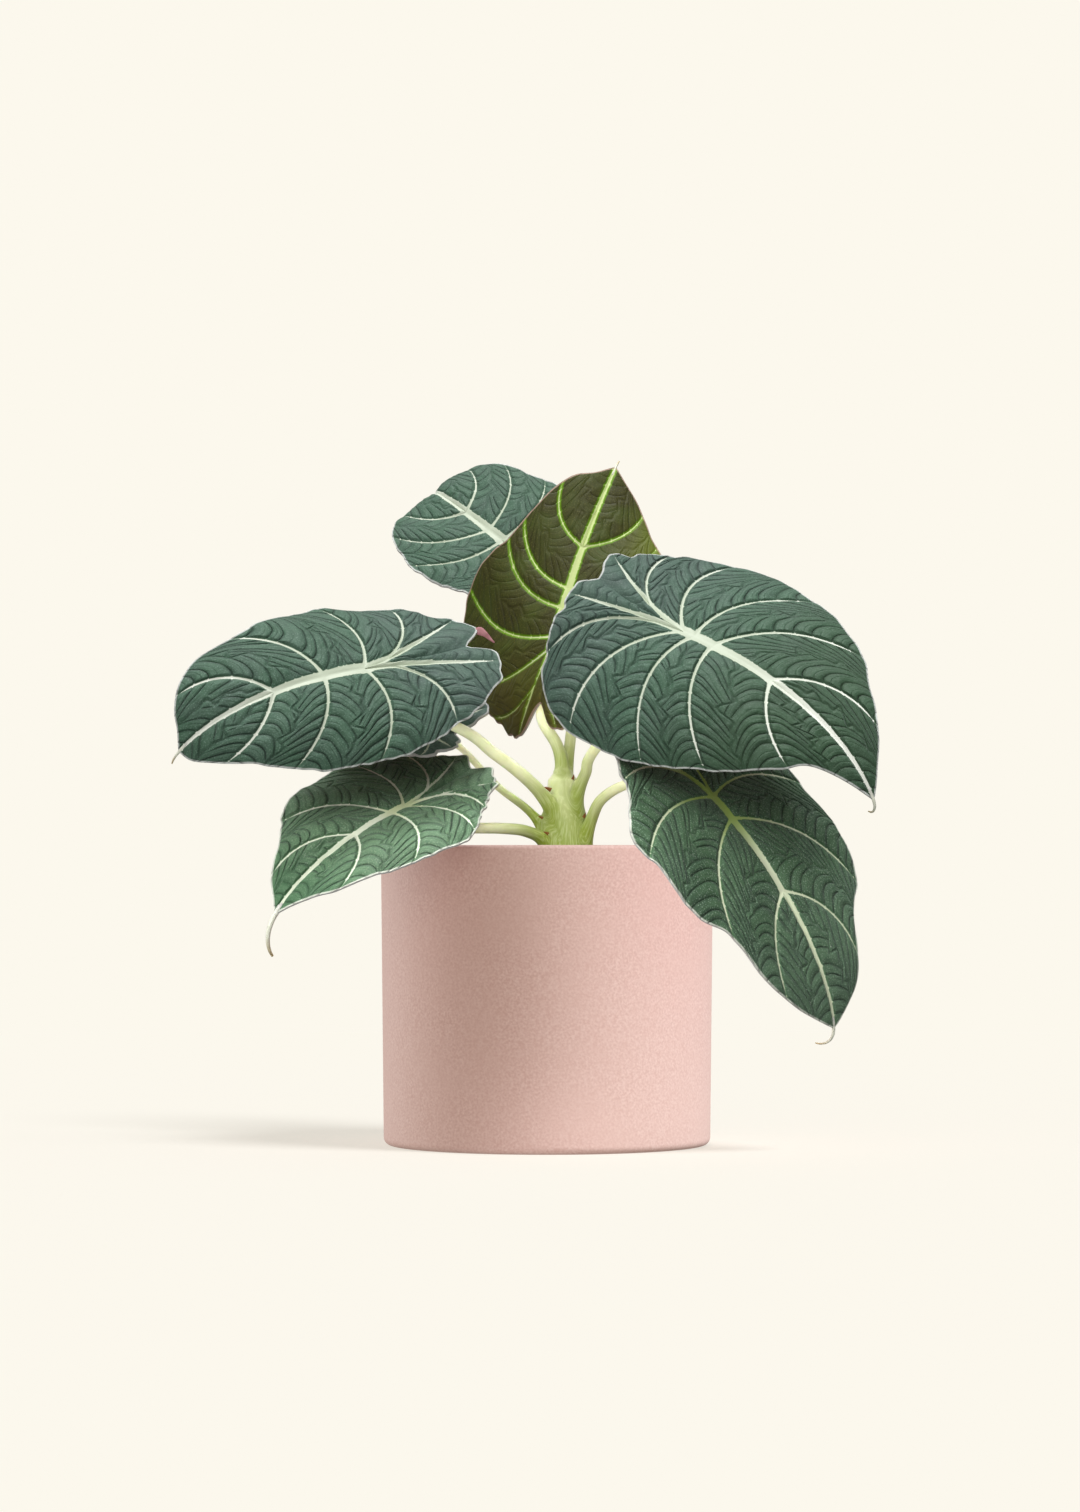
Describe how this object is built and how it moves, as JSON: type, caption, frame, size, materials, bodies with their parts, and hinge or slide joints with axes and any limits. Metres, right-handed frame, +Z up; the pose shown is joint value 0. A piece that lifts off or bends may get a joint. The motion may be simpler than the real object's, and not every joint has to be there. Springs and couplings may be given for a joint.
{
  "type": "potted black velvet alocasia",
  "caption": "Small potted aroid with dark velvety, pale-veined shield leaves on green stalks, standing in a straight matt pink cylinder pot.",
  "frame": {"origin": "centre of the pot's flat underside", "axes": "+Z up along the pot axis, -Y towards the front of the plant, +X to its right"},
  "size_m": [0.2671, 0.2086, 0.2758],
  "materials": {
    "pot": "matt unglazed pink",
    "soil": "loose moist potting mix",
    "crown": "smooth green stem",
    "stalk": "smooth pale green stalk",
    "blade": "dark velvety leaf with pale veins",
    "young": "olive brown young leaf with lime veins"
  },
  "bodies": {
    "root": {"pot": "pot", "soil": "soil", "crown": "crown", "stalk_left": "stalk", "blade_left": "blade", "stalk_right": "stalk", "blade_right": "blade", "stalk_low_left": "stalk", "blade_low_left": "blade", "stalk_low_right": "stalk", "blade_low_right": "blade", "stalk_centre": "stalk", "blade_centre": "young", "stalk_back": "stalk", "blade_back": "blade", "stalk_hidden": "stalk", "blade_hidden": "blade"}
  },
  "joints": []
}
